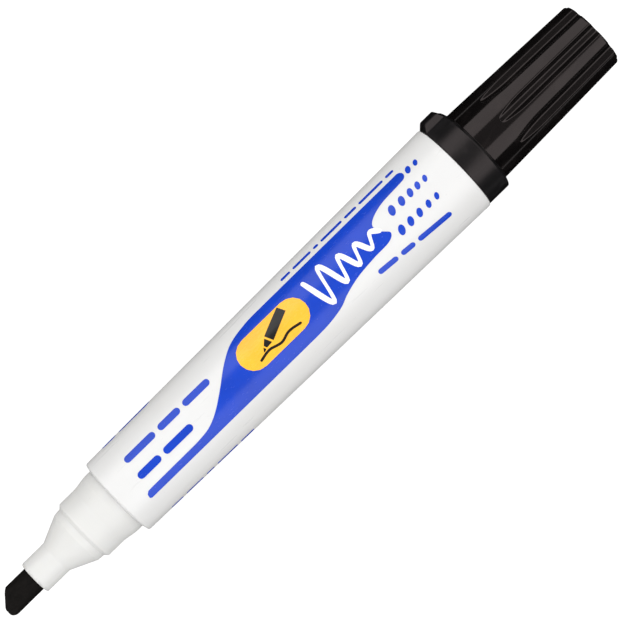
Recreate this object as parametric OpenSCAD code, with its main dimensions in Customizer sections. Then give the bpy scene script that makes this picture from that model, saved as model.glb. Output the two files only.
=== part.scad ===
// Whiteboard marker with a chisel nib, lying on its side with the cap posted on its rear end.
// The marker's long axis runs along X: the nib points to -X and the cap's closed end to +X.
// Stations along the marker are counted from the nib's toe, and the sizes are in millimetres.

/* [Nib] */
// Diameter of the fibre nib
nib_d = 5.3; // [4.5:0.1:6.4]
// Length of nib that shows in front of the nose
nib_reach = 7.9; // [6:0.1:10]
// Length of the slanted writing face, along the marker
nib_slant_len = 2.7; // [2:0.1:3.4]
// Width of the blunt toe in front of the slanted face
nib_toe = 2.3; // [1.6:0.1:2.6]
// Thickness of the chisel at the toe
nib_edge = 2.4; // [1.5:0.1:3.2]
// Length of the two flats that thin the nib to its chisel edge
nib_flat_len = 6.2; // [4:0.1:7.5]
// Depth of nib that is pushed into the ink core
nib_in_core = 6.5; // [4:0.1:10]

/* [Nose] */
// Diameter of the nose where it leaves the barrel, which the cap's mouth fits
root_d = 14.14; // [12:0.01:17]
// Wall of the neck around the nib
neck_wall = 0.87; // [0.7:0.01:1.2]
// Length of the straight neck
neck_len = 5.7; // [4:0.1:7]
// Length of the cone behind the neck
cone_len = 5.15; // [4:0.05:7]
// Length of the narrow band behind the cone
band_len = 1.4; // [1:0.1:2]
// Length of the sealing bead that the cap closes on
bead_len = 4; // [3:0.1:5]
// Length of the ramp from the bead up to the root
root_ramp_len = 2.75; // [2:0.05:4]
// Length of the straight root in front of the barrel
root_len = 1.6; // [1:0.1:3]
// Step in radius from the root down to the bead
bead_drop = 0.43; // [0.3:0.01:0.6]
// Step in radius from the bead down to the band
band_drop = 0.68; // [0.5:0.01:0.9]
// Depth of nose held inside the barrel
nose_seat = 9.6; // [8:0.1:12]
// Wall of the nose around its inner chamber
nose_wall = 1.3; // [1:0.1:1.8]

/* [Barrel] */
// Length of the barrel
barrel_len = 88.7; // [70:0.1:110]
// Wall of the barrel at its front lip
lip_wall = 1.4; // [1.2:0.1:2]
// Growth in radius from the barrel's front to its rear
barrel_flare = 1.18; // [0.8:0.01:1.6]
// Wall of the barrel around the plug and the ink cavity
barrel_wall = 1.07; // [0.9:0.01:1.4]
// Number of ribs inside the barrel that centre the reservoir
rib_count = 6; // [4:1:8]
// Thickness of the inner ribs of the barrel and the nose
rib_t = 0.9; // [0.7:0.1:1.2]

/* [Reservoir] */
// Thickness of the plastic film round the ink core
film_t = 0.2; // [0.15:0.05:0.4]
// Radial step from the nose's root in to the reservoir's film
reservoir_drop = 0.07; // [0.05:0.01:0.2]

/* [Rear plug] */
// Depth of the plug's skirt inside the barrel
skirt_len = 6; // [5:0.1:8]
// Depth at which the plug's inner tube stops the reservoir
pusher_len = 9; // [7.5:0.1:12]
// Wall of the plug, its tube and its post
plug_wall = 1.2; // [0.9:0.1:1.5]

/* [Cap] */
// Wall of the cap round its mouth bore
cap_wall = 0.86; // [0.7:0.01:1]
// Loss of radius from the cap's shoulder to its closed end
cap_taper = 0.82; // [0.5:0.01:0.9]
// Thickness of the cap's closed end
cap_end_wall = 2.05; // [1.5:0.05:3]
// Radius of the rounded edge at the closed end
cap_end_round = 0.6; // [0.4:0.05:0.9]
// Free space in front of the nib's toe when the nib end is capped
tip_space = 4.1; // [2:0.1:6]
// Length of the collar at the cap's mouth
collar_len = 5.05; // [4:0.05:7]
// Length of the sloping shoulder behind the collar
shoulder_len = 0.55; // [0.45:0.05:1.4]
// Step in radius from the barrel's rear rim down to the collar
collar_step = 0.24; // [0.1:0.01:0.4]
// Number of grip flutes
flute_count = 9; // [6:1:10]
// Depth of a flute
flute_depth = 0.95; // [0.5:0.05:1.1]
// Width of a flute's flat floor
flute_floor = 0.95; // [0.8:0.05:1.8]
// Distance from the mouth to where the flutes begin
flute_start = 11.4; // [10:0.1:16]
// Length over which a flute runs out to the surface
flute_run = 7; // [4:0.5:9]

/* [Anti-roll lug] */
// Height of the lug above the collar
lug_h = 1.15; // [0.7:0.05:1.5]
// Length of the lug's flat top, along the marker
lug_top_len = 2.95; // [2:0.1:4]
// Half width of the lug at its top
lug_half_top = 4.3; // [3:0.1:5]
// Half width of the lug at its foot
lug_half_foot = 5; // [3.5:0.1:6]

/* [Cap seal] */
// Wall of the soft cup that closes round the nose's neck
seal_wall = 0.83; // [0.6:0.01:1.2]
// Gap between the cup's skirt and the cap
seal_space = 0.85; // [0.5:0.05:1]
// Thickness of the cup's floor
seal_floor = 0.9; // [0.6:0.1:1.5]
// Length of the cup's foot that grips the cap
seal_foot = 4.5; // [3:0.1:7]

/* [Fits] */
// Radial running clearance between the cap and the nose or the post
run_gap = 0.05; // [0.03:0.01:0.08]
// Radial clearance of the parts that stay pressed together
fit_gap = 0.04; // [0.02:0.01:0.06]
// Height of the snap rings that hold the nose and the plug
snap_h = 0.22; // [0.15:0.01:0.3]

/* [Hidden] */
$fn = 96;

// Over-run of a cut past the face it opens
over = 1;
// Steps in a quarter of a round edge
round_steps = 6;

// Radii of the nose, from its front to its root
nib_r = nib_d / 2;
neck_r = nib_r + neck_wall;
root_r = root_d / 2;
bead_r = root_r - bead_drop;
band_r = bead_r - band_drop;
bead_ramp_len = 0.7;
// Loss of radius from the band's rear to its front
band_fall = 0.1;
// Roundings of the nose: the neck's rim, its long soft bends, and the edges of the band and the bead
neck_round = 0.3;
nose_soft = 1.2;
nose_edge = 0.25;
// Radius of the air grooves beside the nib
vent_r = 0.35;
// Length of the nose's inner chamber that lies in the cone, and in the bead before it is full width
chamber_in_cone = 1.55;
chamber_in_bead = 1;

// Stations along the marker, from the nib's toe
neck_u = nib_reach;
cone_u = neck_u + neck_len;
band_u = cone_u + cone_len;
bead_u = band_u + band_len + bead_ramp_len;
ramp_u = bead_u + bead_len;
root_u = ramp_u + root_ramp_len;
front_u = root_u + root_len;
nose_end_u = front_u + nose_seat;
rear_u = front_u + barrel_len;
mouth_u = rear_u + run_gap;

// Toe of the nib: its 45 degree bevel and the rounding of its corners
toe_y = nib_toe - nib_r;
toe_bevel = 0.7;
toe_round = 0.3;

// Radii of the barrel
seat_r = root_r + fit_gap;
front_r = seat_r + lip_wall;
rear_r = front_r + barrel_flare;
plug_r = rear_r - barrel_wall;
film_r = root_r - reservoir_drop;
rib_r = film_r + fit_gap;
core_r = film_r - film_t;
// Ink cavity: the shelf behind the nose, and its steps out from the nose's seat and in from the plug's
cavity_start = nose_seat + 0.8;
cavity_front_r = seat_r + 0.33;
cavity_rear_r = plug_r - 0.1;
// Slope of the front lip, and the roundings of the lip and the rear rim
lip_slope = 0.35;
lip_round = 0.4;
rim_round = 0.3;

// Rings that snap into grooves: their length, the depth of their foot, and the nose's and the plug's
// distance from the barrel's ends
snap_len = 1.2;
snap_foot = 0.5;
nose_snap_at = 5.6;
plug_snap_at = 3;

// Length of the reservoir between the nose and the plug's inner tube
core_len = barrel_len - nose_seat - pusher_len;

// Inner shape of the cap: the mouth fits the root and the bead, the throat the band, and each runs on
// a little further
mouth_spare = 0.55;
throat_gap = 0.25;
throat_lead = 1;
throat_spare = 1.75;
mouth_r = root_r + run_gap;
mouth_depth = front_u - bead_u + mouth_spare;
throat_r = band_r + throat_gap;
throat_start = mouth_depth + throat_lead;
throat_end = front_u - band_u + throat_spare;
seal_r = neck_r + run_gap;
skirt_r = seal_r + seal_wall;
sleeve_r = skirt_r + seal_space;
sleeve_start = front_u - cone_u;
sleeve_end = front_u + tip_space + seal_floor;
seal_inset = 0.8;
seal_start = sleeve_start + seal_inset;
// Length of the slopes at the seal's rim and above its foot
seal_slope = 1;

// Outer shape of the cap
cap_len = sleeve_end + cap_end_wall;
body_r = mouth_r + cap_wall;
end_r = body_r - cap_taper;
collar_r = rear_r - collar_step;
shoulder_start = collar_len;
shoulder_end = collar_len + shoulder_len;
body_slope = atan(cap_taper / (cap_len - shoulder_end));
// Bevel at the rim of the cap's mouth, and the roundings at the shoulder's top and foot
mouth_bevel = 0.2;
shoulder_round = 0.6;
shoulder_soft = 0.15;
// Lean of a flute's walls away from its middle, and the turn of all the flutes towards +Y
flute_lean = 48;
flute_turn = 2;
// The lug stands in a little from the mouth and from the shoulder, and is rooted in the collar
lug_r = collar_r + lug_h;
lug_set = 0.05;
lug_back = 0.2;
lug_root = 0.2;
lug_foot_r = collar_r - 2.5;
lug_spread = 0.5;

// Post on the rear plug, which the cap's mouth slides over
post_r = mouth_r - run_gap;
post_len = mouth_depth - throat_lead;
post_ramp = 1.1;
post_end_r = band_r;
post_tip = 1.9;
post_round = 0.5;
// Depth of the hollow inside the post, short of its straight length
post_hollow = post_len - 0.3;
// Set-back of the plug's face behind the barrel's rear rim
plug_set = 0.05;

// The whole marker is centred over the origin and rests at z = 0
total_len = mouth_u + cap_len;
axis_y = (rear_r - lug_r) / 2;
axis_z = max(rear_r, collar_r);

// Points of the fillet of one corner, given with the corners before and after it; each corner is
// [radius, station, fillet]
function fillet(before, at, after) =
    let (from = [before[0] - at[0], before[1] - at[1]],
         to = [after[0] - at[0], after[1] - at[1]],
         u = from / norm(from),
         v = to / norm(to),
         half = acos(u * v) / 2,
         back = at[2] / tan(half),
         middle = (u + v) / norm(u + v) * at[2] / sin(half),
         start = u * back - middle,
         end = v * back - middle,
         a0 = atan2(start[1], start[0]),
         swing = atan2(end[1], end[0]) - a0,
         turn = swing > 180 ? swing - 360 : swing < -180 ? swing + 360 : swing)
    [for (i = [0:round_steps])
        let (a = a0 + turn * i / round_steps)
        [at[0] + middle[0] + at[2] * cos(a), at[1] + middle[1] + at[2] * sin(a)]];

// Outline with every corner rounded by its own fillet, or left sharp where that is 0
function rounded(corners) =
    [for (i = [0:len(corners) - 1])
        let (n = len(corners), at = corners[i])
        each at[2] == 0 ? [[at[0], at[1]]]
                        : fillet(corners[(i + n - 1) % n], at, corners[(i + 1) % n])];

// Sets a piece that stands on local Z at a station on the marker's axis
module station(u) {
    translate([u - total_len / 2, axis_y, axis_z]) rotate([0, 90, 0]) children();
}

// Ring-shaped bulge used for the snap rings and, a little larger, for their grooves
module snap_ring(radius, from, extra = 0) {
    translate([0, 0, from])
        rotate_extrude()
            polygon([[radius - snap_foot, -extra], [radius, -extra],
                     [radius + snap_h + extra, snap_len * 0.3], [radius + snap_h + extra, snap_len * 0.7],
                     [radius, snap_len + extra], [radius - snap_foot, snap_len + extra]]);
}

// Moulded tube: lipped front, straight taper, inner ribs and two snap grooves
module barrel() {
    color("white")
    station(front_u)
    difference() {
        rotate_extrude()
            polygon(rounded([
                [0, 0, 0], [seat_r, 0, 0], [front_r, lip_slope, lip_round],
                [rear_r, barrel_len, rim_round], [0, barrel_len, 0]]));
        translate([0, 0, -over]) cylinder(r = seat_r, h = cavity_start + 2 * over);
        difference() {
            translate([0, 0, cavity_start])
                cylinder(r1 = cavity_front_r, r2 = cavity_rear_r, h = barrel_len - skirt_len - cavity_start);
            for (i = [0:rib_count - 1])
                rotate([0, 0, i * 360 / rib_count])
                    translate([rib_r - over, -rib_t / 2, 0])
                        cube([rear_r, rib_t, barrel_len - pusher_len]);
        }
        translate([0, 0, cavity_start]) cylinder(r = rib_r, h = barrel_len);
        translate([0, 0, barrel_len - skirt_len - fit_gap]) cylinder(r = plug_r, h = skirt_len + over);
        snap_ring(seat_r, nose_snap_at, fit_gap);
        snap_ring(plug_r, barrel_len - plug_snap_at - snap_len, fit_gap);
    }
}

// Nose that holds the nib: neck, cone, sealing bead and a root pushed into the barrel
module nose() {
    back = nose_end_u - neck_u;
    color("ghostwhite")
    station(neck_u)
    difference() {
        union() {
            rotate_extrude()
                polygon(rounded([
                    [0, 0, 0], [neck_r, 0, neck_round], [neck_r, cone_u - neck_u, nose_soft],
                    [band_r - band_fall, band_u - neck_u, nose_edge],
                    [band_r, bead_u - bead_ramp_len - neck_u, nose_edge],
                    [bead_r, bead_u - neck_u, nose_edge], [bead_r, ramp_u - neck_u, nose_soft],
                    [root_r, root_u - neck_u, nose_soft], [root_r, back, 0], [0, back, 0]]));
            snap_ring(root_r, front_u - neck_u + nose_snap_at);
        }
        translate([0, 0, -over]) cylinder(r = nib_r + fit_gap, h = back + 2 * over);
        for (a = [0:90:270])
            rotate([0, 0, a + 45])
                translate([nib_r, 0, -over]) cylinder(r = vent_r, h = band_u - neck_u + over, $fn = 24);
        difference() {
            rotate_extrude()
                polygon([[0, band_u - neck_u - chamber_in_cone], [nib_r, band_u - neck_u - chamber_in_cone],
                         [band_r - nose_wall, band_u - neck_u + band_len],
                         [bead_r - nose_wall, bead_u - neck_u + chamber_in_bead],
                         [root_r - nose_wall, root_u - neck_u],
                         [root_r - nose_wall, back + over], [0, back + over]]);
            for (a = [0, 90])
                rotate([0, 0, a])
                    translate([-root_r, -rib_t / 2, 0]) cube([root_d, rib_t, back]);
        }
    }
}

// Fibre rod with a slanted chisel end: the slant faces +Y and the toe lies on the -Y side
module nib() {
    length = nose_end_u + nib_in_core;
    slant_end = nib_slant_len * (nib_d - nib_toe + over) / (nib_d - nib_toe);
    color([0.07, 0.07, 0.07])
    translate([-total_len / 2, axis_y, axis_z])
    intersection() {
        rotate([0, 90, 0]) cylinder(r = nib_r, h = length);
        translate([0, 0, -nib_d])
            linear_extrude(height = 2 * nib_d)
                polygon(rounded([
                    [0, toe_bevel - nib_r, toe_round], [0, toe_y, toe_round], [slant_end, nib_r + over, 0],
                    [length + over, nib_r + over, 0], [length + over, -nib_r - over, 0],
                    [toe_bevel + over, -nib_r - over, 0]]));
        rotate([90, 0, 0])
            translate([0, 0, -nib_d])
                linear_extrude(height = 2 * nib_d)
                    polygon([[0, -nib_edge / 2], [nib_flat_len, -nib_r], [nib_flat_len, -nib_r - over],
                             [length + over, -nib_r - over], [length + over, nib_r + over],
                             [nib_flat_len, nib_r + over], [nib_flat_len, nib_r], [0, nib_edge / 2]]);
    }
}

// Absorbent ink core, with a socket that the nib is pushed into
module reservoir_core() {
    color([0.16, 0.16, 0.18])
    station(nose_end_u)
    difference() {
        cylinder(r = core_r - fit_gap, h = core_len);
        translate([0, 0, -over]) cylinder(r = nib_r + fit_gap, h = nib_in_core + over);
    }
}

// Plastic film that holds the core together
module reservoir_film() {
    color([0.80, 0.86, 0.90])
    station(nose_end_u)
    difference() {
        cylinder(r = film_r, h = core_len);
        translate([0, 0, -over]) cylinder(r = core_r, h = core_len + 2 * over);
    }
}

// Plug that closes the barrel: snap-in skirt, inner tube and the hollow post for the cap
module rear_plug() {
    tube_r = post_end_r - plug_wall;
    color("white")
    station(rear_u)
    union() {
        rotate_extrude()
            polygon(rounded([
                [tube_r, -pusher_len, 0], [post_end_r, -pusher_len, 0], [post_end_r, -plug_wall, 0],
                [plug_r - plug_wall, -plug_wall, 0], [plug_r - plug_wall, -skirt_len, 0],
                [plug_r - fit_gap, -skirt_len, 0], [plug_r - fit_gap, -plug_set, 0],
                [post_r, -plug_set, 0], [post_r, post_len, 0], [post_end_r, post_len + post_ramp, 0],
                [post_end_r, post_len + post_tip, post_round], [0, post_len + post_tip, 0],
                [0, post_hollow, 0], [tube_r, post_hollow, 0]]));
        snap_ring(plug_r - fit_gap, -plug_snap_at - snap_len);
    }
}

// Cutter for one flute, lying along the cap's tapered side: a flat floor between leaning walls, which
// sinks in behind a round start
module flute_cutter() {
    half = flute_floor / 2;
    // Each section is [distance from the start, half width of the floor]
    sections = concat(
        [for (a = [15:15:90]) [half * (1 - cos(a)), half * sin(a)]],
        [for (i = [1:round_steps]) [half + (flute_run - half) * i / round_steps, half]],
        [[cap_len, half]]);
    last = 4 * (len(sections) - 1);
    points = [for (s = sections)
        let (depth = flute_depth * (1 - pow(1 - min(1, s[0] / flute_run), 2)),
             spread = (over + depth) * tan(flute_lean))
        each [[-depth, -s[1], s[0]], [-depth, s[1], s[0]],
              [over, s[1] + spread, s[0]], [over, -s[1] - spread, s[0]]]];
    sides = [for (k = [0:4:last - 4], j = [0:3]) [k + j, k + (j + 1) % 4, k + 4 + (j + 1) % 4, k + 4 + j]];
    translate([body_r, 0, shoulder_end])
        rotate([0, -body_slope, 0])
            translate([0, 0, flute_start - shoulder_end])
                polyhedron(points, concat([[3, 2, 1, 0], [last, last + 1, last + 2, last + 3]], sides));
}

// Lug on the collar that stops the marker from rolling off a table
module lug() {
    intersection() {
        rotate_extrude()
            polygon([[body_r - lug_root, lug_set], [collar_r, lug_set], [lug_r, lug_set + lug_h],
                     [lug_r, lug_set + lug_h + lug_top_len], [collar_r, shoulder_start - lug_back],
                     [body_r - lug_root, shoulder_start - lug_back]]);
        translate([0, 0, -over])
            linear_extrude(height = cap_len)
                polygon([[-lug_half_foot - lug_spread, lug_foot_r], [lug_half_foot + lug_spread, lug_foot_r],
                         [lug_half_top, lug_r], [lug_half_top, lug_r + over],
                         [-lug_half_top, lug_r + over], [-lug_half_top, lug_r]]);
    }
}

// One-piece cap: collar with its lug, sloping shoulder and a fluted, tapered body
module cap() {
    color([0.10, 0.10, 0.10])
    station(mouth_u)
    difference() {
        union() {
            rotate_extrude()
                polygon(rounded([
                    [0, 0, 0], [collar_r - mouth_bevel, 0, 0], [collar_r, mouth_bevel, 0],
                    [collar_r, shoulder_start, shoulder_round], [body_r, shoulder_end, shoulder_soft],
                    [end_r, cap_len, cap_end_round], [0, cap_len, 0]]));
            lug();
        }
        for (i = [0:flute_count - 1])
            rotate([0, 0, 180 - flute_turn + i * 360 / flute_count]) flute_cutter();
        rotate_extrude()
            polygon([[0, -over], [mouth_r, -over], [mouth_r, mouth_depth], [throat_r, throat_start],
                     [throat_r, throat_end], [sleeve_r, sleeve_start], [sleeve_r, sleeve_end],
                     [0, sleeve_end]]);
    }
}

// Soft inner cup of the cap, which closes round the nose's neck and keeps the nib wet
module cap_seal() {
    length = sleeve_end - seal_start;
    color([0.55, 0.55, 0.55])
    station(mouth_u + seal_start)
    rotate_extrude()
        polygon([[seal_r, 0], [seal_r + seal_wall / 2, 0], [skirt_r, seal_slope],
                 [skirt_r, length - seal_foot - seal_slope], [sleeve_r - fit_gap, length - seal_foot],
                 [sleeve_r - fit_gap, length], [0, length],
                 [0, length - seal_floor], [seal_r, length - seal_floor]]);
}

barrel();
nose();
nib();
reservoir_core();
reservoir_film();
rear_plug();
cap();
cap_seal();
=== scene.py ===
"""Looks of the whiteboard marker: felt nib, milky nose, printed white barrel and a fluted black cap.

Lengths in the settings are in metres. The marker lies along X with its nib to -X, and stations along it
are counted from the nib's toe.
"""
import math

import bmesh
import bpy
from mathutils import Matrix, Vector, geometry, noise


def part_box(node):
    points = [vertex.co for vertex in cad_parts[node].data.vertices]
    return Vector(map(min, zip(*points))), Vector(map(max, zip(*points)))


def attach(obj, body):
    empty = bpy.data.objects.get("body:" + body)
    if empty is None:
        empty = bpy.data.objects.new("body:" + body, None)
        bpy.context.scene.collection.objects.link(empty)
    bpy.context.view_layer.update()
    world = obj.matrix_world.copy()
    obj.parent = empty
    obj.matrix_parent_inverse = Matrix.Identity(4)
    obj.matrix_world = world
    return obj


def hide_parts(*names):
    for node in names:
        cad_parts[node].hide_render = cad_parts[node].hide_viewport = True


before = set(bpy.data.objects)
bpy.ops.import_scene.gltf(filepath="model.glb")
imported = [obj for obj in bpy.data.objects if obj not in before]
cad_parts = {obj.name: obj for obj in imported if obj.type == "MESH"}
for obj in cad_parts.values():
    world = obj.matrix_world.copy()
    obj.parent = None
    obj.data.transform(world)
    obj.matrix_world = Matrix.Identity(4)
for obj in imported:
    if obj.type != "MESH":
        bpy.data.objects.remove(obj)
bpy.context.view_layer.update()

bl_info = {
    "name": "Whiteboard Marker",
    "version": (1, 0, 0),
    "blender": (4, 5, 0),
    "location": "3D View > Sidebar > Marker",
    "description": "Finishes a chisel-nib whiteboard marker around its packed model",
    "category": "Object",
}

MM = 0.001
TUBE_BODY = "marker"
CAP_BODY = "cap"

BARREL_LOW, BARREL_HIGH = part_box("barrel")
CAP_LOW, CAP_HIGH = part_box("cap")
NIB_LOW, NIB_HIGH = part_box("nib")
NOSE_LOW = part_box("nose")[0]
AXIS_Y = (BARREL_LOW.y + BARREL_HIGH.y) / 2
AXIS_Z = (BARREL_LOW.z + BARREL_HIGH.z) / 2
TOE_X = NIB_LOW.x
BARREL_REAR_R = (BARREL_HIGH.z - BARREL_LOW.z) / 2
CAP_LEN = CAP_HIGH.x - CAP_LOW.x
NIB_R = (NIB_HIGH.z - NIB_LOW.z) / 2
NIB_LEN = NIB_HIGH.x - NIB_LOW.x

# The cap's inside as (distance from the mouth, radius) in millimetres, from its blind end out.
SLEEVE_END = 34.2
CAP_BORE = (
    (SLEEVE_END, 2.6), (SLEEVE_END, 5.15), (34.1, 5.25), (15.6, 5.25), (12.3, 6.15), (12.1, 6.21),
    (9.95, 6.21), (9.8, 6.27), (8.95, 7.08), (8.8, 7.12), (0.18, 7.12), (0.05, 7.2), (0.0, 7.3))
BORE_LIMIT = 7.25
# The closed end as (share of the rim's radius, depth of the dish in millimetres), from the rim in.
CAP_DISH = (
    (0.93, 0.0), (0.80, 0.02), (0.62, 0.05), (0.42, 0.06), (0.22, 0.06), (0.17, 0.10), (0.06, 0.12))
DISH_DEPTH = 0.12
# The anti-roll lug: half of the angle it may span, lean of its flanks, and fall of its back.
LUG_SPAN = 0.8
LUG_LEAN = 0.338
LUG_FALL = 1.64

# Where the camera looks and stands on the floor, in metres, and the length of its sensor.
CAMERA_LOOKS_AT = (0.002665, -0.00097)
CAMERA_STANDS_AT = (-0.013135, -0.00097)
SENSOR_WIDTH = 36.0


# ---------------------------------------------------------------- settings

def length(name, text, default, low=0.0, high=1.0):
    """A size setting in metres."""
    return bpy.props.FloatProperty(
        name=name, description=text, default=default, min=low, max=high, unit="LENGTH",
        precision=5)


def share(name, text, default, low=0.0, high=1.0):
    """A plain number setting."""
    return bpy.props.FloatProperty(name=name, description=text, default=default, min=low, max=high)


def angle(name, text, degrees):
    """An angle setting."""
    return bpy.props.FloatProperty(
        name=name, description=text, default=math.radians(degrees), subtype="ANGLE")


def colour(name, text, default):
    """A colour setting."""
    return bpy.props.FloatVectorProperty(
        name=name, description=text, default=default, size=3, min=0.0, max=1.0, subtype="COLOR")


class BarrelSettings(bpy.types.PropertyGroup):
    """Barrel, nose and the white inner mouldings."""

    plastic: colour("Barrel plastic", "Colour of the moulded barrel", (0.685, 0.685, 0.685))
    nose: colour("Nose plastic", "Colour of the milky nose", (0.66, 0.66, 0.65))
    roughness: share("Roughness", "Roughness of the barrel's skin", 0.30)
    nose_roughness: share("Nose roughness", "Roughness of the nose's skin", 0.42)
    front_r: length("Front radius", "Outer radius of the barrel at its lip", 8.51 * MM)
    stain: share("Nose stain", "Strength of the ink stain where the nib leaves the nose", 0.35)


class PrintSettings(bpy.types.PropertyGroup):
    """Inks printed on the barrel."""

    blue: colour("Blue ink", "Colour of the blue print", (0.004, 0.047, 0.48))
    amber: colour("Amber ink", "Colour of the plain label", (0.93, 0.47, 0.035))
    black: colour("Black ink", "Colour of the pictogram", (0.012, 0.011, 0.010))
    white: colour("White ink", "Colour of the flowing line", (0.86, 0.86, 0.86))
    film: length("Film height", "Height of one layer of ink", 0.02 * MM)
    roughness: share("Roughness", "Roughness of the dried ink", 0.22)


class NibSettings(bpy.types.PropertyGroup):
    """Felt chisel nib."""

    felt: colour("Felt", "Colour of the ink-soaked fibre", (0.0045, 0.0038, 0.0035))
    toe: length("Toe width", "Width of the blunt toe", 2.3 * MM)
    bevel: length("Toe bevel", "Size of the bevel at the toe's outer corner", 0.7 * MM)
    slant: length("Slant length", "Length of the slanted writing face", 2.7 * MM)
    edge: length("Edge thickness", "Thickness of the chisel at its toe", 2.4 * MM)
    flat: length("Flat length", "Length of the flats that thin the nib", 6.2 * MM)
    rounding: length("Rounding", "Softness of the felt's edges", 0.35 * MM)
    fuzz: length("Fibre relief", "Height of the fibres on the felt", 0.035 * MM)


class CapSettings(bpy.types.PropertyGroup):
    """Fluted cap with its collar and anti-roll lug."""

    body: colour("Body black", "Colour of the glossy cap body", (0.0035, 0.003, 0.003))
    collar: colour("Collar black", "Colour of the satin collar", (0.006, 0.006, 0.0065))
    gloss: share("Body roughness", "Roughness of the cap body", 0.10)
    satin: share("Collar roughness", "Roughness of the collar", 0.30)
    sheen: colour("Reflection tint", "Warm tint of the black plastic's reflections", (1.0, 0.86, 0.85))
    collar_r: length("Collar radius", "Outer radius of the collar", 9.45 * MM)
    collar_len: length("Collar length", "Length of the collar", 5.05 * MM)
    shoulder: length("Shoulder length", "Length of the sloping shoulder", 0.55 * MM)
    body_r: length("Body radius", "Radius of the body behind the shoulder", 7.98 * MM)
    end_r: length("End radius", "Radius of the body at its closed end", 7.16 * MM)
    end_round: length("End rounding", "Radius of the closed end's edge", 0.6 * MM)
    flutes: bpy.props.IntProperty(
        name="Flutes", description="Number of grip flutes", default=9, min=4, max=12)
    flute_depth: length("Flute depth", "Depth of a flute", 0.95 * MM)
    flute_floor: length("Flute floor", "Width of a flute's flat floor", 0.95 * MM)
    flute_start: length("Flute start", "Distance of the flutes from the mouth", 11.4 * MM)
    flute_run: length("Flute run-out", "Length over which a flute fades in", 7.0 * MM)
    flute_tip: length("Flute tip", "Extra depth right behind a flute's round start", 0.1 * MM)
    flute_lean: angle("Flute lean", "Lean of a flute's walls away from its middle", 48)
    flute_turn: angle("Flute turn", "Turn of the flutes towards the lug's side", 2)
    fillet: length("Flute fillet", "Rounding where a flute's floor meets its walls", 0.22 * MM)
    softness: length("Edge softness", "Rounding of the flutes' and the lug's edges", 0.22 * MM)
    lug_h: length("Lug height", "Height of the anti-roll lug", 1.15 * MM)
    lug_top: length("Lug top", "Half width of the lug at its top", 4.3 * MM)


class StageSettings(bpy.types.PropertyGroup):
    """Floor, lights and camera."""

    floor: colour("Floor", "Colour of the pale floor", (0.22, 0.22, 0.22))
    glow: share("Floor glow", "Light that the floor gives by itself", 0.88, 0.0, 2.0)
    softbox: share("Softboxes", "Radiance of the two long softboxes", 1.6, 0.0, 20.0)
    overhead: share("Overhead", "Radiance of the dim panel overhead", 0.25, 0.0, 20.0)
    rim: share("Low strips", "Radiance of the thin strips beside the marker", 0.7, 0.0, 20.0)
    ends: share("End panels", "Radiance of the panels beyond the marker's ends", 1.3, 0.0, 20.0)
    ambient: share("Ambient", "Light that comes evenly from all round", 0.55, 0.0, 5.0)
    lens: share("Lens", "Focal length of the camera in millimetres", 173.75, 20.0, 400.0)
    height: length("Camera height", "Height of the camera above the marker's axis", 0.564)
    turn: angle("Camera turn", "Angle of the marker across the picture", 44.33)


# ---------------------------------------------------------------- materials

class Finish:
    """A node material under construction: a Principled shader and the nodes that feed it."""

    def __init__(self, name, base, roughness, **fixed):
        self.material = bpy.data.materials.new(name)
        self.material.use_nodes = True
        self.tree = self.material.node_tree
        self.shader = self.tree.nodes["Principled BSDF"]
        self.shader.inputs["Base Color"].default_value = (*base, 1.0)
        self.shader.inputs["Roughness"].default_value = roughness
        for label, value in fixed.items():
            self.shader.inputs[label.replace("_", " ")].default_value = value
        self.place = self.tree.nodes.new("ShaderNodeTexCoord").outputs["Object"]
        self.height = None

    def node(self, kind, inputs=(), **options):
        """Adds a node, sets its options, and joins or sets its inputs."""
        made = self.tree.nodes.new(kind)
        for label, value in options.items():
            setattr(made, label, value)
        for label, value in dict(inputs).items():
            if isinstance(value, bpy.types.NodeSocket):
                self.tree.links.new(value, made.inputs[label])
            else:
                made.inputs[label].default_value = value
        return made

    def noise(self, size, detail=3.0, stretch=(1.0, 1.0, 1.0), roughness=0.5, distortion=0.0):
        """Noise with features of about this size in metres, drawn out along each axis by stretch."""
        scaled = self.node("ShaderNodeMapping", {
            "Vector": self.place, "Scale": [1.0 / (size * s) for s in stretch]})
        return self.node("ShaderNodeTexNoise", {
            "Vector": scaled.outputs["Vector"], "Scale": 1.0, "Detail": detail,
            "Roughness": roughness, "Distortion": distortion}).outputs["Fac"]

    def span(self, value, low, high, to_low=0.0, to_high=1.0, smooth=False):
        """Maps a value from one span to another."""
        return self.node("ShaderNodeMapRange", {
            "Value": value, "From Min": low, "From Max": high, "To Min": to_low,
            "To Max": to_high},
            interpolation_type="SMOOTHSTEP" if smooth else "LINEAR").outputs["Result"]

    def maths(self, operation, first, second):
        """One arithmetic step."""
        return self.node("ShaderNodeMath", {0: first, 1: second},
                         operation=operation).outputs["Value"]

    def mix(self, factor, first, second):
        """Mixes two colours."""
        made = self.node("ShaderNodeMix", {"Factor": factor}, data_type="RGBA")
        for index, value in ((6, first), (7, second)):
            if isinstance(value, bpy.types.NodeSocket):
                self.tree.links.new(value, made.inputs[index])
            else:
                made.inputs[index].default_value = (*value, 1.0)
        return made.outputs[2]

    def along(self):
        """Station along the marker in metres."""
        x = self.node("ShaderNodeSeparateXYZ", {"Vector": self.place}).outputs["X"]
        return self.maths("SUBTRACT", x, TOE_X)

    def feed(self, label, value):
        """Joins a value to one of the shader's sockets."""
        self.tree.links.new(value, self.shader.inputs[label])

    def raise_by(self, value, depth):
        """Adds relief of this depth in metres to the surface."""
        step = self.maths("MULTIPLY", value, depth)
        self.height = step if self.height is None else self.maths("ADD", self.height, step)

    def done(self):
        """Joins the relief to the shader and gives the material."""
        if self.height is not None:
            bump = self.node("ShaderNodeBump", {
                "Height": self.height, "Strength": 1.0, "Distance": 1.0})
            self.feed("Normal", bump.outputs["Normal"])
        return self.material


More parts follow.
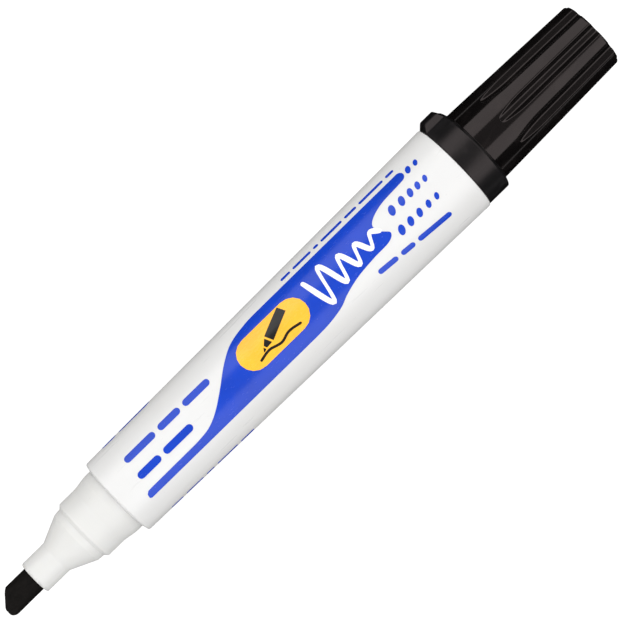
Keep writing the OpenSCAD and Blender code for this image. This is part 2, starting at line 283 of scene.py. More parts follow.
def shade(rgb, factor, tint=(1.0, 1.0, 1.0)):
    """A colour made darker or lighter, and tinted."""
    return tuple(min(1.0, c * factor * t) for c, t in zip(rgb, tint))


def moulded_white(name, base, roughness, milk):
    """White moulded plastic: faint clouding, drawn-out flow lines, fine scuffs and handling marks."""
    finish = Finish(name, base, roughness, Subsurface_Weight=milk, Subsurface_Scale=1.5 * MM,
                    IOR=1.47)
    finish.shader.inputs["Subsurface Radius"].default_value = (1.0, 0.95, 0.85)
    cloud = finish.noise(14 * MM, 2.0, (2.5, 1.0, 1.0))
    flow = finish.noise(0.9 * MM, 3.0, (14.0, 1.0, 1.0))
    specks = finish.noise(0.55 * MM, 2.0)
    marks = finish.noise(2.2 * MM, 5.0, (5.0, 1.0, 1.0), 0.7, 1.2)
    base_clouded = finish.mix(finish.span(cloud, 0.3, 0.7), shade(base, 0.975, (1.0, 0.995, 0.985)),
                              base)
    dirty = finish.mix(finish.span(specks, 0.74, 0.80, 0.0, 0.35), base_clouded,
                       shade(base, 0.72, (1.0, 0.97, 0.9)))
    finish.feed("Base Color", dirty)
    scuffed = finish.span(marks, 0.55, 0.75, roughness, roughness + 0.16)
    finish.feed("Roughness", finish.maths("ADD", scuffed, finish.span(flow, 0.3, 0.7, -0.03, 0.03)))
    finish.raise_by(flow, 0.0035 * MM)
    finish.raise_by(finish.noise(0.25 * MM, 2.0), 0.0012 * MM)
    finish.raise_by(cloud, 0.02 * MM)
    return finish


def moulded_black(name, base, roughness, tint, scuff, grain):
    """Black moulded plastic with hairline scratches along it and a fine moulded grain."""
    finish = Finish(name, base, roughness, IOR=1.42, Specular_Tint=(*tint, 1.0))
    hair = finish.noise(0.16 * MM, 4.0, (26.0, 1.0, 1.0), 0.6)
    worn = finish.noise(3.0 * MM, 4.0, (1.6, 1.0, 1.0), 0.62, 0.6)
    skin = finish.noise(0.3 * MM, 2.0)
    finish.feed("Base Color", finish.mix(
        finish.span(worn, 0.5, 0.8), base, shade(base, 2.6, (1.05, 1.0, 0.97))))
    rubbed = finish.span(worn, 0.45, 0.72, roughness, roughness + scuff)
    finish.feed("Roughness", finish.maths("ADD", rubbed, finish.span(hair, 0.6, 0.8, 0.0, scuff)))
    finish.raise_by(hair, grain * 0.5)
    finish.raise_by(skin, grain)
    finish.raise_by(worn, grain * 4)
    return finish


def printed_ink(name, base, roughness):
    """Screen-printed ink: slight unevenness of the film, pin-holes and a soft gloss."""
    finish = Finish(name, base, roughness, IOR=1.45)
    film = finish.noise(0.5 * MM, 4.0, (2.5, 1.0, 1.0), 0.6)
    patchy = finish.noise(5.0 * MM, 2.0)
    holes = finish.noise(0.14 * MM, 2.0)
    uneven = finish.mix(finish.span(patchy, 0.3, 0.7), shade(base, 0.93), shade(base, 1.05))
    finish.feed("Base Color", finish.mix(
        finish.span(holes, 0.72, 0.8, 0.0, 0.25), uneven, shade(base, 1.0, (1.4, 1.4, 1.1))))
    finish.feed("Roughness", finish.span(film, 0.3, 0.7, roughness - 0.04, roughness + 0.07))
    finish.raise_by(film, 0.0015 * MM)
    return finish.done()


def coat(node, *materials):
    """Gives a CAD node its finish."""
    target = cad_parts[node]
    target.data.materials.clear()
    for material in materials:
        target.data.materials.append(material)


# ---------------------------------------------------------------- shape helpers

def on_axis(station, radius, turn):
    """A point at a station, at a radius and an angle from straight up towards +Y."""
    return Vector((TOE_X + station, AXIS_Y + radius * math.sin(turn),
                   AXIS_Z + radius * math.cos(turn)))


def soft_min(a, b, softness):
    """The lesser of two sizes, rounded where they meet."""
    h = max(softness - abs(a - b), 0.0) / softness
    return min(a, b) - h * h * softness / 4


def soft_max(a, b, softness):
    """The greater of two sizes, rounded where they meet."""
    return -soft_min(-a, -b, softness)


def steps(start, end, step):
    """Evenly spaced values from start up to, but without, end."""
    count = max(1, round((end - start) / step))
    return [start + (end - start) * i / count for i in range(count)]


def closed_skin(name, rings, first, last):
    """A closed mesh of rings of points, with a point at each end."""
    mesh = bpy.data.meshes.new(name)
    form = bmesh.new()
    rows = [[form.verts.new(p) for p in ring] for ring in rings]
    poles = form.verts.new(first), form.verts.new(last)
    count = len(rows[0])
    for i in range(count):
        j = (i + 1) % count
        form.faces.new((poles[0], rows[0][j], rows[0][i]))
        form.faces.new((poles[1], rows[-1][i], rows[-1][j]))
    for k in range(len(rows) - 1):
        for i in range(count):
            j = (i + 1) % count
            form.faces.new((rows[k][i], rows[k][j], rows[k + 1][j], rows[k + 1][i]))
    bmesh.ops.recalc_face_normals(form, faces=form.faces)
    for face in form.faces:
        face.smooth = True
    form.to_mesh(mesh)
    form.free()
    piece = bpy.data.objects.new(name, mesh)
    bpy.context.scene.collection.objects.link(piece)
    return piece


# ---------------------------------------------------------------- print

def plain_bar(start, end, height, across, slope=0.0):
    """Outline of a bar with round ends along the barrel."""
    half = height / 2
    rim = [(math.cos(math.radians(a)) * half, math.sin(math.radians(a)) * half)
           for a in (-90, -67, -45, -22, 0, 22, 45, 67, 90)]
    points = [(end - half + x, y) for x, y in rim] + [(start + half - x, -y) for x, y in rim]
    return [(x, across + y + slope * (x - start)) for x, y in points]


def oval(station, across, half_len, half_width, tilt=0.0, count=28):
    """Outline of an oval dot."""
    c, s = math.cos(tilt), math.sin(tilt)
    ring = [(half_len * math.cos(2 * math.pi * i / count), half_width * math.sin(2 * math.pi * i / count))
            for i in range(count)]
    return [(station + x * c - y * s, across + x * s + y * c) for x, y in ring]


def smooth_path(knots, per_span=10, closed=False):
    """A smooth curve through knots (Catmull-Rom)."""
    n = len(knots)
    points = []
    for i in range(n if closed else n - 1):
        if closed:
            p0, p1, p2, p3 = (Vector(knots[(i + k) % n]) for k in (-1, 0, 1, 2))
        else:
            p0, p1, p2, p3 = (Vector(knots[min(max(i + k, 0), n - 1)]) for k in (-1, 0, 1, 2))
        for step in range(per_span):
            t = step / per_span
            points.append(0.5 * ((2 * p1) + (p2 - p0) * t + (2 * p0 - 5 * p1 + 4 * p2 - p3) * t * t
                                 + (3 * p1 - p0 - 3 * p2 + p3) * t * t * t))
    if not closed:
        points.append(Vector(knots[-1]))
    return points


def ribbon(path, widths):
    """Outline of a stroke along a path, with a width at each point and round ends."""
    left, right = [], []
    for i, point in enumerate(path):
        ahead = path[min(i + 1, len(path) - 1)] - path[max(i - 1, 0)]
        side = Vector((-ahead.y, ahead.x)).normalized() * widths[i] / 2
        left.append(point + side)
        right.append(point - side)
    caps = []
    for index, flip in ((-1, 1), (0, -1)):
        ahead = (path[index] - path[index - flip] if index else path[0] - path[1]).normalized()
        side = Vector((-ahead.y, ahead.x))
        half = widths[index] / 2
        caps.append([path[index] + side * half * math.cos(a) + ahead * half * math.sin(a)
                     for a in (math.radians(22.5 * k) for k in range(1, 8))])
    return left + caps[0] + right[::-1] + caps[1]


def inside(point, outline):
    """Is a point inside a closed outline?"""
    x, y = point
    hit = False
    for (x0, y0), (x1, y1) in zip(outline, outline[1:] + outline[:1]):
        if (y0 > y) != (y1 > y) and x < (x1 - x0) * (y - y0) / (y1 - y0) + x0:
            hit = not hit
    return hit


def barrel_radius(station):
    """Outer radius of the barrel's taper at a station."""
    settings = bpy.context.scene.marker_barrel
    front = BARREL_LOW.x - TOE_X
    share_back = (station - front) / (BARREL_HIGH.x - BARREL_LOW.x)
    return settings.front_r + (BARREL_REAR_R - settings.front_r) * share_back


def wrapped_print(name, outlines, layer, material, mesh_step=0.45):
    """Plain shapes of ink wrapped round the barrel. Outlines are (station, arc) in millimetres, with the
    arc counted from straight up towards -Y."""
    film = bpy.context.scene.marker_print.film
    form = bmesh.new()
    for outline in outlines:
        rim = []
        for a, b in zip(outline, outline[1:] + outline[:1]):
            a, b = Vector(a), Vector(b)
            pieces = max(1, math.ceil((b - a).length / mesh_step))
            rim += [tuple(a.lerp(b, k / pieces)) for k in range(pieces)]
        low = [min(p[k] for p in rim) for k in (0, 1)]
        high = [max(p[k] for p in rim) for k in (0, 1)]
        grid = []
        for i in range(1, int((high[0] - low[0]) / mesh_step) + 1):
            for j in range(1, int((high[1] - low[1]) / mesh_step) + 1):
                spot = (low[0] + i * mesh_step, low[1] + (j + 0.5 * (i % 2)) * mesh_step)
                clear = all(abs(spot[0] - p[0]) + abs(spot[1] - p[1]) > mesh_step * 0.45 for p in rim)
                if clear and inside(spot, rim):
                    grid.append(spot)
        flat, _, faces, *_ = geometry.delaunay_2d_cdt(
            [Vector(p) for p in rim + grid], [], [list(range(len(rim)))], 1, 1e-5)
        top, base = [], []
        for spot in flat:
            station = spot.x * MM
            radius = barrel_radius(station)
            turn = -spot.y * MM / radius
            top.append(form.verts.new(on_axis(station, radius + film * layer, turn)))
            base.append(form.verts.new(on_axis(station, radius - film, turn)))
        edges = {}
        for face in faces:
            form.faces.new([top[k] for k in face])
            form.faces.new([base[k] for k in reversed(face)])
            for a, b in zip(face, face[1:] + face[:1]):
                if (b, a) in edges:
                    del edges[(b, a)]
                else:
                    edges[(a, b)] = True
        for a, b in edges:
            form.faces.new((top[b], top[a], base[a], base[b]))
    loose = [v for v in form.verts if not v.link_faces]
    bmesh.ops.delete(form, geom=loose, context="VERTS")
    bmesh.ops.recalc_face_normals(form, faces=form.faces)
    for face in form.faces:
        face.smooth = True
    mesh = bpy.data.meshes.new(name)
    form.to_mesh(mesh)
    form.free()
    mesh.set_sharp_from_angle(angle=math.radians(40))
    mesh.materials.append(material)
    piece = bpy.data.objects.new(name, mesh)
    bpy.context.scene.collection.objects.link(piece)
    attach(piece, TUBE_BODY)
    return piece


def bars(start, across, height, lengths, gap, slope=0.0):
    """A row of plain bars with round ends, in place of a line of words."""
    rows, at = [], start
    for size in lengths:
        rows.append(plain_bar(at, at + size, height, across + slope * (at - start), slope))
        at += size + gap
    return rows


def sweep_outline():
    """The blue sweep: a bar along the barrel that widens to a field and runs out as a bar again."""
    rise = smooth_path([(47.3, 3.15), (50.7, 2.75), (53.8, 1.4), (57.5, -1.1), (61.1, -3.9),
                        (64.8, -6.2), (69.3, -7.25), (73.4, -7.4)], 8)
    tip = [(108.5 + 1.05 * math.cos(math.radians(a)), -6.35 + 1.05 * math.sin(math.radians(a)))
           for a in range(-80, 81, 20)]
    fall = smooth_path([(106.9, -5.2), (102.9, -4.95), (100.0, -4.1), (98.6, -2.9), (99.0, -1.2),
                        (100.2, 0.3), (98.7, 1.35), (94.5, 1.55), (90.1, 2.0), (86.6, 2.9),
                        (83.9, 4.0), (80.3, 4.65), (76.8, 4.8)], 8)
    start = [(34.5, 4.8), (34.1, 4.5), (34.25, 3.7), (34.8, 3.25), (35.7, 3.2)]
    return [tuple(p) for p in [*start, *rise, (108.5, -7.4), *tip, *fall]]


def marker_sign():
    """A plain pictogram of a pen lying on the line that it has drawn."""
    turn = math.radians(-24)
    c, s = math.cos(turn), math.sin(turn)

    def lay(points):
        return [(71.9 + x * c - y * s, -2.1 + x * s + y * c) for x, y in points]

    body = lay([(-1.6, -0.95), (4.3, -0.95), (4.3, 0.95), (-1.6, 0.95)])
    neck = lay([(-2.0, -0.8), (-3.3, -0.35), (-3.3, 0.35), (-2.0, 0.8)])
    point = lay([(-3.6, -0.3), (-4.3, 0.1), (-4.3, 0.3), (-3.6, 0.3)])
    line = smooth_path([(66.6, 0.55), (69.0, 0.15), (71.6, 0.75), (74.0, 0.2), (76.6, 0.6)], 8)
    drawn = ribbon(line, [0.5] * len(line))
    return [body, neck, point, [tuple(p) for p in drawn]]


def flowing_line():
    """A white line that swings and settles, as a pen stroke would."""
    knots, at = [], 81.7
    swings = ((-4.4, 0.2), (2.3, 1.9), (-4.9, 2.2), (1.2, 2.1), (-3.6, 2.0), (0.6, 1.9), (-2.9, 1.8),
              (0.0, 1.8), (-2.4, 1.7), (-1.4, 1.6))
    for height, move in swings:
        at += move
        knots.append((at, height))
    path = smooth_path(knots, 9)
    widths = [0.85 + 0.22 * math.sin(i * 0.35) for i in range(len(path))]
    return [[tuple(p) for p in ribbon(path, widths)]]


class MARKER_OT_print(bpy.types.Operator):
    """Prints the plain sweep, label, dots and bars on the barrel"""

    bl_idname = "marker.print"
    bl_label = "Barrel print"

    def execute(self, context):
        inks = context.scene.marker_print
        blue = printed_ink("blue_ink", inks.blue, inks.roughness)
        amber = printed_ink("amber_ink", inks.amber, inks.roughness + 0.03)
        black = printed_ink("black_ink", inks.black, inks.roughness)
        white = printed_ink("white_ink", inks.white, inks.roughness + 0.05)
        wrapped_print("print_sweep", [sweep_outline()], 1.0, blue)
        dots = []
        for across, spots in ((-6.25, ((110.7, 0.66), (112.6, 0.55))),
                              (-2.5, ((103.2, 0.82), (105.7, 0.77), (107.9, 0.7), (109.8, 0.63),
                                      (111.7, 0.55))),
                              (1.4, ((102.0, 0.8), (104.3, 0.75), (106.6, 0.7), (108.9, 0.63),
                                     (111.0, 0.55)))):
            dots += [oval(station, across, size * 0.85, size * 1.3, math.radians(25))
                     for station, size in spots]
        wrapped_print("print_dots", dots, 1.0, blue)
        front = bars(35.5, -3.85, 1.5, (7.6, 5.4, 6.6), 1.0)
        front += bars(35.3, 0.15, 1.5, (5.6, 7.2), 1.0)
        front += bars(79.5, -8.9, 0.75, (2.4, 4.6, 1.2, 5.4, 3.0, 6.2, 2.0), 0.75)
        front += bars(93.4, 4.3, 1.15, (4.6, 3.2, 7.9), 0.9, 0.09)
        wrapped_print("print_bars", front, 1.0, blue)
        back = bars(33.8, -12.9, 2.1, (3.6, 8.0), 0.8)
        back += bars(35.5, 12.2, 0.9, (3.0, 4.4, 2.0, 5.2, 3.4), 0.8)
        for row, lengths in enumerate(((6, 9, 4, 11, 7, 5), (9, 5, 12, 6, 8), (4, 8, 7, 10, 5, 6),
                                       (11, 6, 9, 4, 8), (7, 5, 10, 8))):
            back += bars(38.0, 15.6 + 2.1 * row, 0.85, lengths, 1.0)
        back += bars(38.0, -17.4, 1.5, (16, 11), 1.4) + bars(38.0, -20.2, 0.85, (9, 6, 12, 7), 1.0)
        wrapped_print("print_back_bars", back, 1.0, blue)
        label = plain_bar(63.2, 79.8, 6.8, -1.5)
        wrapped_print("print_label", [label], 2.0, amber)
        wrapped_print("print_sign", marker_sign(), 3.0, black)
        wrapped_print("print_line", flowing_line(), 2.0, white)
        return {"FINISHED"}


# ---------------------------------------------------------------- barrel, nose and inner parts

class MARKER_OT_barrel(bpy.types.Operator):
    """Gives the barrel and the nose their moulded plastics"""

    bl_idname = "marker.barrel"
    bl_label = "Barrel and nose"

    def execute(self, context):
        settings = context.scene.marker_barrel
        tube = moulded_white("barrel_plastic", settings.plastic, settings.roughness, 0.06)
        coat("barrel", tube.done())
        milky = moulded_white("nose_plastic", settings.nose, settings.nose_roughness, 0.30)
        front = NOSE_LOW.x - TOE_X
        near = milky.span(milky.along(), front, front + 0.9 * MM, 1.0, 0.0, True)
        blotch = milky.span(milky.noise(0.7 * MM, 4.0, (1.0, 1.0, 1.0), 0.65), 0.42, 0.62)
        stain = milky.maths("MULTIPLY", milky.maths("MULTIPLY", near, blotch), settings.stain)
        clean = milky.shader.inputs["Base Color"].links[0].from_socket
        milky.feed("Base Color", milky.mix(stain, clean, (0.10, 0.10, 0.11)))
        coat("nose", milky.done())
        return {"FINISHED"}


class MARKER_OT_inner_parts(bpy.types.Operator):
    """Finishes the plug with its post, the ink core, its film and the cap's seal"""

    bl_idname = "marker.inner_parts"
    bl_label = "Inner parts"

    def execute(self, context):
        settings = context.scene.marker_barrel
        coat("rear_plug", moulded_white("plug_plastic", settings.plastic, 0.36, 0.06).done())

        core = Finish("ink_core_fibre", (0.02, 0.02, 0.023), 0.9)
        strands = core.noise(0.12 * MM, 3.0, (30.0, 1.0, 1.0), 0.6)
        core.feed("Base Color", core.mix(strands, (0.008, 0.008, 0.009), (0.06, 0.06, 0.066)))
        core.feed("Roughness", core.span(strands, 0.3, 0.7, 0.8, 0.95))
        core.raise_by(strands, 0.05 * MM)
        coat("reservoir_core", core.done())

        film = Finish("wrap_film", (0.72, 0.78, 0.82), 0.18, Transmission_Weight=0.35, IOR=1.49)
        crease = film.noise(1.4 * MM, 4.0, (7.0, 1.0, 1.0), 0.6, 0.8)
        film.feed("Roughness", film.span(crease, 0.3, 0.7, 0.12, 0.3))
        film.feed("Base Color", film.mix(crease, (0.66, 0.72, 0.77), (0.78, 0.83, 0.86)))
        film.raise_by(crease, 0.04 * MM)
        coat("reservoir_film", film.done())

        seal = Finish("seal_soft_plastic", (0.24, 0.24, 0.235), 0.5, Subsurface_Weight=0.15,
                      Subsurface_Scale=1.0 * MM)
        skin = seal.noise(0.5 * MM, 4.0)
        inked = seal.noise(1.8 * MM, 4.0, (1.0, 1.0, 1.0), 0.65)
        seal.feed("Base Color", seal.mix(
            seal.span(inked, 0.55, 0.7, 0.0, 0.7), (0.25, 0.25, 0.245), (0.05, 0.05, 0.055)))
        seal.feed("Roughness", seal.span(skin, 0.3, 0.7, 0.42, 0.58))
        seal.raise_by(skin, 0.006 * MM)
        coat("cap_seal", seal.done())
        return {"FINISHED"}


# ---------------------------------------------------------------- nib

class MARKER_OT_nib(bpy.types.Operator):
    """Makes the felt nib with its slanted chisel end"""

    bl_idname = "marker.nib"
    bl_label = "Felt nib"

    def execute(self, context):
        settings = context.scene.marker_nib
        count = 96
        toe_y = settings.toe - NIB_R
        slope = (NIB_R - toe_y) / settings.slant
        stations = [0.0, 0.03 * MM, 0.08 * MM, 0.15 * MM, 0.25 * MM, 0.37 * MM, 0.5 * MM]
        stations += steps(0.6 * MM, 9.0 * MM, 0.12 * MM) + steps(9.0 * MM, NIB_LEN, 3.0 * MM)
        stations.append(NIB_LEN)
        rings = []
        for station in stations:
            top = min(NIB_R, toe_y + slope * station)
            low = max(-NIB_R, settings.bevel - NIB_R - station)
            middle = (top + low) / 2
            thick = settings.edge / 2
            thick += (NIB_R - thick) * min(1.0, station / settings.flat)
            blunt = max(0.0, settings.rounding - station)
            inset = settings.rounding - math.sqrt(max(0.0, settings.rounding ** 2 - blunt ** 2))
            ring = []
            for i in range(count):
                turn = 2 * math.pi * i / count
                across, up = math.sin(turn), math.cos(turn)
                reach = -middle * across + math.sqrt(max(
                    0.0, NIB_R ** 2 - (middle * up) ** 2))
                walls = []
                if across > 1e-4:
                    walls.append((toe_y + slope * station - middle) / across)
                if across < -1e-4:
                    walls.append((settings.bevel - NIB_R - station - middle) / across)
                if abs(up) > 1e-4:
                    walls.append(thick / abs(up))
                for wall in walls:
                    reach = soft_min(reach, wall, settings.rounding)
                reach -= inset * 0.8
                spot = Vector((station, middle + reach * across, reach * up))
                if station < 8.8 * MM:
                    grain = noise.fractal(Vector((spot.x * 900, spot.y * 4200, spot.z * 4200)),
                                          0.8, 2.1, 3)
                    lump = noise.noise(spot * 900)
                    reach += settings.fuzz * (grain * 0.8 + lump * 0.5) - settings.fuzz
                ring.append(Vector((TOE_X + station, AXIS_Y + middle + reach * across,
                                    AXIS_Z + reach * up)))
            rings.append(ring)
        front = Vector((TOE_X, AXIS_Y + (toe_y + settings.bevel - NIB_R) / 2, AXIS_Z))
        piece = closed_skin("nib_felt", rings, front, Vector((TOE_X + NIB_LEN, AXIS_Y, AXIS_Z)))

        felt = Finish("nib_fibre", settings.felt, 0.85, Specular_IOR_Level=0.12)
        strands = felt.noise(0.09 * MM, 3.0, (9.0, 1.0, 1.0), 0.65)
        clumps = felt.noise(0.7 * MM, 4.0, (2.0, 1.0, 1.0))
        felt.feed("Base Color", felt.mix(
            felt.maths("MULTIPLY", strands, clumps), shade(settings.felt, 0.5),
            shade(settings.felt, 3.2, (1.0, 0.95, 0.9))))
        felt.feed("Roughness", felt.span(strands, 0.3, 0.7, 0.62, 0.95))
        felt.raise_by(strands, 0.03 * MM)
        felt.raise_by(clumps, 0.05 * MM)
        piece.data.materials.append(felt.done())
        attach(piece, TUBE_BODY)
        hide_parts("nib")
        return {"FINISHED"}


# ---------------------------------------------------------------- cap

class CapShape:
    """Outer shape of the cap as a radius at each distance from the mouth and each angle."""

    def __init__(self, settings):
        self.s = settings
        self.shoulder_end = settings.collar_len + settings.shoulder
        self.taper = ((settings.body_r - settings.end_r)
                      / (CAP_LEN - self.shoulder_end))
        self.lip = 0.2 * MM
        self.lug_r = settings.collar_r + settings.lug_h

    def side(self, along):
        """Radius of the tapered body."""
        return self.s.body_r - self.taper * (along - self.shoulder_end)

    def turned(self, along):
        """Radius of the cap before its flutes and lug: lip, collar, shoulder, body, rounded end."""
        s = self.s
        if along < self.lip:
            return s.collar_r - self.lip + math.sqrt(self.lip ** 2 - (self.lip - along) ** 2)
        if along < self.shoulder_end + 0.3 * MM:
            slope = (s.body_r - s.collar_r) / s.shoulder * (along - s.collar_len) + s.collar_r
            return soft_max(soft_min(s.collar_r, slope, 0.6 * MM), self.side(along), 0.1 * MM)
        left = CAP_LEN - along
        if left < s.end_round:
            edge = self.side(CAP_LEN - s.end_round) - s.end_round
            return edge + math.sqrt(max(0.0, s.end_round ** 2 - (s.end_round - left) ** 2))
        return self.side(along)

    def flute(self, along, turn):
        """Radius of a flute's flat floor and leaning walls, or None in front of the flutes."""
        s = self.s
        into = along - s.flute_start
        if into <= 0:
            return None
        half = s.flute_floor / 2
        if into < half:
            half *= math.sqrt(1 - (1 - into / half) ** 2)
        floor = self.side(along) - s.flute_depth * (1 - (1 - min(1.0, into / s.flute_run)) ** 2)
        floor -= s.flute_tip * math.sqrt(min(1.0, into / s.flute_floor)) * max(0.0, 1 - into / s.flute_run)
        bend = abs(math.remainder(turn - s.flute_turn, 2 * math.pi / s.flutes))
        lean = math.tan(s.flute_lean)
        wall = (floor * lean - half) / (lean * math.cos(bend) - math.sin(bend))
        return soft_max(floor / math.cos(bend), wall, s.fillet)

    def lug(self, along, turn):
        """Radius of the anti-roll lug, or None away from it."""
        s = self.s
        bend = abs(math.remainder(turn - math.pi / 2, 2 * math.pi))
        if along > s.collar_len or bend > LUG_SPAN:
            return None
        top = math.sqrt(self.lug_r ** 2 - s.lug_top ** 2)
        flank = (s.lug_top + LUG_LEAN * top) / (math.sin(bend) + LUG_LEAN * math.cos(bend))
        front = s.collar_r + along - 0.05 * MM
        back = s.collar_r + (s.collar_len - 0.2 * MM - along) * LUG_FALL
        height = soft_min(soft_min(self.lug_r, front, s.softness), back, s.softness)
        return soft_min(height, flank, s.softness)

    def radius(self, along, turn):
        """Outer radius of the finished cap."""
        size = self.turned(along)
        cut = self.flute(along, turn)
        if cut is not None:
            size = soft_min(size, cut, self.s.softness)
        lug = self.lug(along, turn)
        if lug is not None:
            size = soft_max(size, lug, self.s.softness)
        return size

    def stations(self):
        """Distances from the mouth at which the outer skin has a ring of points."""
        s = self.s
        rows = [0.0, 0.02, 0.05, 0.09, 0.14, 0.2]
        rows = [r * MM for r in rows] + steps(0.28 * MM, 1.5 * MM, 0.1 * MM)
        rows += steps(1.5 * MM, 4.0 * MM, 0.3 * MM)
        rows += steps(4.0 * MM, self.shoulder_end + 0.3 * MM, 0.05 * MM)
        rows += steps(self.shoulder_end + 0.3 * MM, s.flute_start, 0.6 * MM)
        rows += steps(s.flute_start, s.flute_start + 1.5 * MM, 0.07 * MM)
        rows += steps(s.flute_start + 1.5 * MM, s.flute_start + s.flute_run, 0.25 * MM)
        rows += steps(s.flute_start + s.flute_run, CAP_LEN - s.end_round, 0.7 * MM)
        rows += [CAP_LEN - s.end_round * (1 - math.sin(math.radians(a))) for a in range(0, 91, 10)]
        return rows

    def turns(self):
        """Angles of the points of a ring, close together at the flutes' and the lug's edges."""
        half = 180.0 / self.s.flutes
        near = [0, 1.2, 2.2, 3.0, 14.0, 15.6, 17.6, 19.0] + steps(3.6, 13.0, 0.45)
        spots = set()
        for k in range(self.s.flutes):
            middle = 2 * half * k + math.degrees(self.s.flute_turn)
            spots |= {middle + side * a for a in near for side in (1, -1)} | {middle + half}
        spots |= {90 + side * a for side in (1, -1)
                  for a in (23.2, 23.8, 24.4, 25.0, 25.8, 26.6, 27.4, 28.2, 29.0, 30.0)}
        ordered = sorted(a % 360 for a in spots)
        kept = [ordered[0]]
        for a in ordered[1:]:
            if a - kept[-1] > 0.25:
                kept.append(a)
        return [math.radians(a) for a in kept]


class MARKER_OT_cap(bpy.types.Operator):
    """Makes the fluted cap with its collar, lug and stepped bore"""

    bl_idname = "marker.cap"
    bl_label = "Cap"

    def execute(self, context):
        settings = context.scene.marker_cap
        shape = CapShape(settings)
        turns = shape.turns()
        mouth = CAP_LOW.x - TOE_X

        def ring(along, sizes):
            return [on_axis(mouth + along, size, turn) for size, turn in zip(sizes, turns)]

        rings = [ring(along * MM, [radius * MM] * len(turns)) for along, radius in CAP_BORE]
        outer = shape.stations()
        rings += [ring(along, [shape.radius(along, turn) for turn in turns]) for along in outer]
        rim = [shape.radius(outer[-1], turn) for turn in turns]
        for part, dip in CAP_DISH:
            rings.append(ring(CAP_LEN - dip * MM, [r * part for r in rim]))
        first = on_axis(mouth + SLEEVE_END * MM, 0.0, 0.0)
        last = on_axis(mouth + CAP_LEN - DISH_DEPTH * MM, 0.0, 0.0)
        piece = closed_skin("cap_shell", rings, first, last)
        piece.data.set_sharp_from_angle(angle=math.radians(50))

        body = moulded_black("cap_gloss_black", settings.body, settings.gloss, settings.sheen, 0.05,
                             0.0006 * MM)
        collar = moulded_black("collar_satin_black", settings.collar, settings.satin, settings.sheen,
                               0.14, 0.0015 * MM)
        piece.data.materials.append(body.done())
        piece.data.materials.append(collar.done())
        limit = CAP_LOW.x + settings.collar_len + settings.shoulder * 0.98
        for face in piece.data.polygons:
            centre = face.center
            out = math.hypot(centre.y - AXIS_Y, centre.z - AXIS_Z)
            face.material_index = 1 if centre.x < limit and out > BORE_LIMIT * MM else 0
        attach(piece, CAP_BODY)
        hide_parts("cap")
        return {"FINISHED"}


# ---------------------------------------------------------------- stage

def panel_light(name, place, target, width, depth, radiance, lies=(1.0, 0.0, 0.0)):
    """An area light that faces a point, given by its radiance."""
    light = bpy.data.lights.new(name, "AREA")
    light.shape = "RECTANGLE"
    light.size = width
    light.size_y = depth
    light.energy = radiance * width * depth * math.pi
    holder = bpy.data.objects.new(name, light)
    bpy.context.scene.collection.objects.link(holder)
    back = (Vector(place) - Vector(target)).normalized()
    long_side = Vector(lies)
    short_side = back.cross(long_side).normalized()
    holder.matrix_world = Matrix.Translation(place) @ Matrix(
        (long_side, short_side, back)).transposed().to_4x4()
    holder.visible_camera = False
    return holder


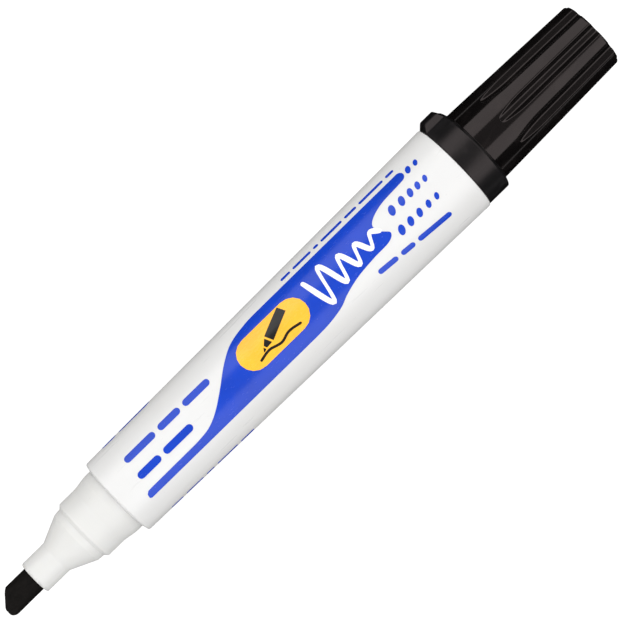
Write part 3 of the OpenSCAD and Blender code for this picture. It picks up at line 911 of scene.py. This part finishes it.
class MARKER_OT_stage(bpy.types.Operator):
    """Sets up the pale floor, the soft studio light and the camera"""

    bl_idname = "marker.stage"
    bl_label = "Stage"

    def execute(self, context):
        settings = context.scene.marker_stage
        scene = context.scene
        self.add_floor(settings)
        axis = Vector((0.0, AXIS_Y, AXIS_Z))
        lean, away = math.radians(44), 0.6
        for side in (1, -1):
            place = axis + away * Vector((0.0, side * math.sin(lean), math.cos(lean)))
            panel_light("softbox", place, axis, 1.6, 0.437, settings.softbox)
            low = Vector((0.0, AXIS_Y + side * 0.30, -0.066))
            panel_light("low_strip", low, axis, 0.9, 0.02, settings.rim)
        panel_light("overhead", axis + Vector((0, 0, 0.8)), axis, 1.6, 0.7, settings.overhead)
        across = (0.0, 1.0, 0.0)
        for place, width, depth in (((0.8, 0.0, 0.24), 0.7, 0.4), ((-0.8, 0.0, 0.42), 0.7, 0.4)):
            panel_light("end_panel", axis + Vector(place), axis, width, depth, settings.ends, across)

        world = bpy.data.worlds.new("ambient")
        world.use_nodes = True
        sky = world.node_tree.nodes["Background"]
        sky.inputs["Color"].default_value = (1.0, 0.995, 0.985, 1.0)
        sky.inputs["Strength"].default_value = settings.ambient
        world.cycles_visibility.glossy = False
        scene.world = world
        scene.view_settings.view_transform = "Standard"

        camera = bpy.data.cameras.new("camera")
        camera.lens = settings.lens
        camera.sensor_width = SENSOR_WIDTH
        camera.clip_start, camera.clip_end = 0.05, 20.0
        holder = bpy.data.objects.new("camera", camera)
        scene.collection.objects.link(holder)
        target = Vector((*CAMERA_LOOKS_AT, AXIS_Z))
        place = Vector((*CAMERA_STANDS_AT, AXIS_Z + settings.height))
        back = (place - target).normalized()
        right = Vector((math.cos(settings.turn), -math.sin(settings.turn), 0.0))
        right = (right - back * right.dot(back)).normalized()
        up = back.cross(right)
        holder.matrix_world = Matrix.Translation(place) @ Matrix(
            (right, up, back)).transposed().to_4x4()
        scene.camera = holder
        return {"FINISHED"}

    @staticmethod
    def add_floor(settings):
        """A flat floor whose far rim sweeps up into a pale backdrop."""
        profile = [(0.0, 0.0), (0.5, 0.0), (1.5, 0.0)]
        profile += [(1.5 + 1.5 * math.sin(math.radians(a)), 1.5 - 1.5 * math.cos(math.radians(a)))
                    for a in range(10, 91, 10)]
        profile.append((3.0, 3.5))
        count = 96
        form = bmesh.new()
        centre = form.verts.new((0.0, 0.0, 0.0))
        rows = [[form.verts.new((r * math.cos(2 * math.pi * i / count),
                                 r * math.sin(2 * math.pi * i / count), z)) for i in range(count)]
                for r, z in profile[1:]]
        for i in range(count):
            j = (i + 1) % count
            form.faces.new((centre, rows[0][i], rows[0][j]))
            for low, high in zip(rows, rows[1:]):
                form.faces.new((low[i], high[i], high[j], low[j]))
        for face in form.faces:
            face.smooth = True
        mesh = bpy.data.meshes.new("floor")
        form.to_mesh(mesh)
        form.free()
        floor = bpy.data.objects.new("floor", mesh)
        bpy.context.scene.collection.objects.link(floor)
        paper = Finish("pale_floor", settings.floor, 0.9)
        grain = paper.noise(3.0 * MM, 3.0)
        paper.feed("Base Color", paper.mix(grain, shade(settings.floor, 0.985), settings.floor))
        paper.shader.inputs["Specular IOR Level"].default_value = 0.0
        paper.shader.inputs["Emission Color"].default_value = (1.0, 1.0, 1.0, 1.0)
        paper.shader.inputs["Emission Strength"].default_value = settings.glow
        mesh.materials.append(paper.done())
        floor.visible_diffuse = False
        floor.visible_glossy = False
        floor.visible_shadow = False


# ---------------------------------------------------------------- panel and registration

class MARKER_PT_sidebar(bpy.types.Panel):
    """Sizes and colours of the marker, and the steps that make it"""

    bl_idname = "MARKER_PT_sidebar"
    bl_label = "Whiteboard marker"
    bl_space_type = "VIEW_3D"
    bl_region_type = "UI"
    bl_category = "Marker"

    def draw(self, context):
        for group, kind, operators in SECTIONS:
            box = self.layout.box()
            settings = getattr(context.scene, group)
            for name in kind.__annotations__:
                box.prop(settings, name)
            for operator in operators:
                box.operator(operator.bl_idname)


SECTIONS = (
    ("marker_stage", StageSettings, (MARKER_OT_stage,)),
    ("marker_barrel", BarrelSettings, (MARKER_OT_barrel, MARKER_OT_inner_parts)),
    ("marker_print", PrintSettings, (MARKER_OT_print,)),
    ("marker_nib", NibSettings, (MARKER_OT_nib,)),
    ("marker_cap", CapSettings, (MARKER_OT_cap,)),
)


def register():
    """Registers the settings, the operators and the panel."""
    for group, kind, operators in SECTIONS:
        bpy.utils.register_class(kind)
        setattr(bpy.types.Scene, group, bpy.props.PointerProperty(type=kind))
        for operator in operators:
            bpy.utils.register_class(operator)
    bpy.utils.register_class(MARKER_PT_sidebar)


def unregister():
    """Removes them again."""
    bpy.utils.unregister_class(MARKER_PT_sidebar)
    for group, kind, operators in reversed(SECTIONS):
        for operator in operators:
            bpy.utils.unregister_class(operator)
        delattr(bpy.types.Scene, group)
        bpy.utils.unregister_class(kind)


def main():
    """Builds the whole marker, one operator after the other."""
    register()
    bpy.ops.marker.stage()
    bpy.ops.marker.barrel()
    bpy.ops.marker.inner_parts()
    bpy.ops.marker.print()
    bpy.ops.marker.nib()
    bpy.ops.marker.cap()


if __name__ == "__main__":
    main()
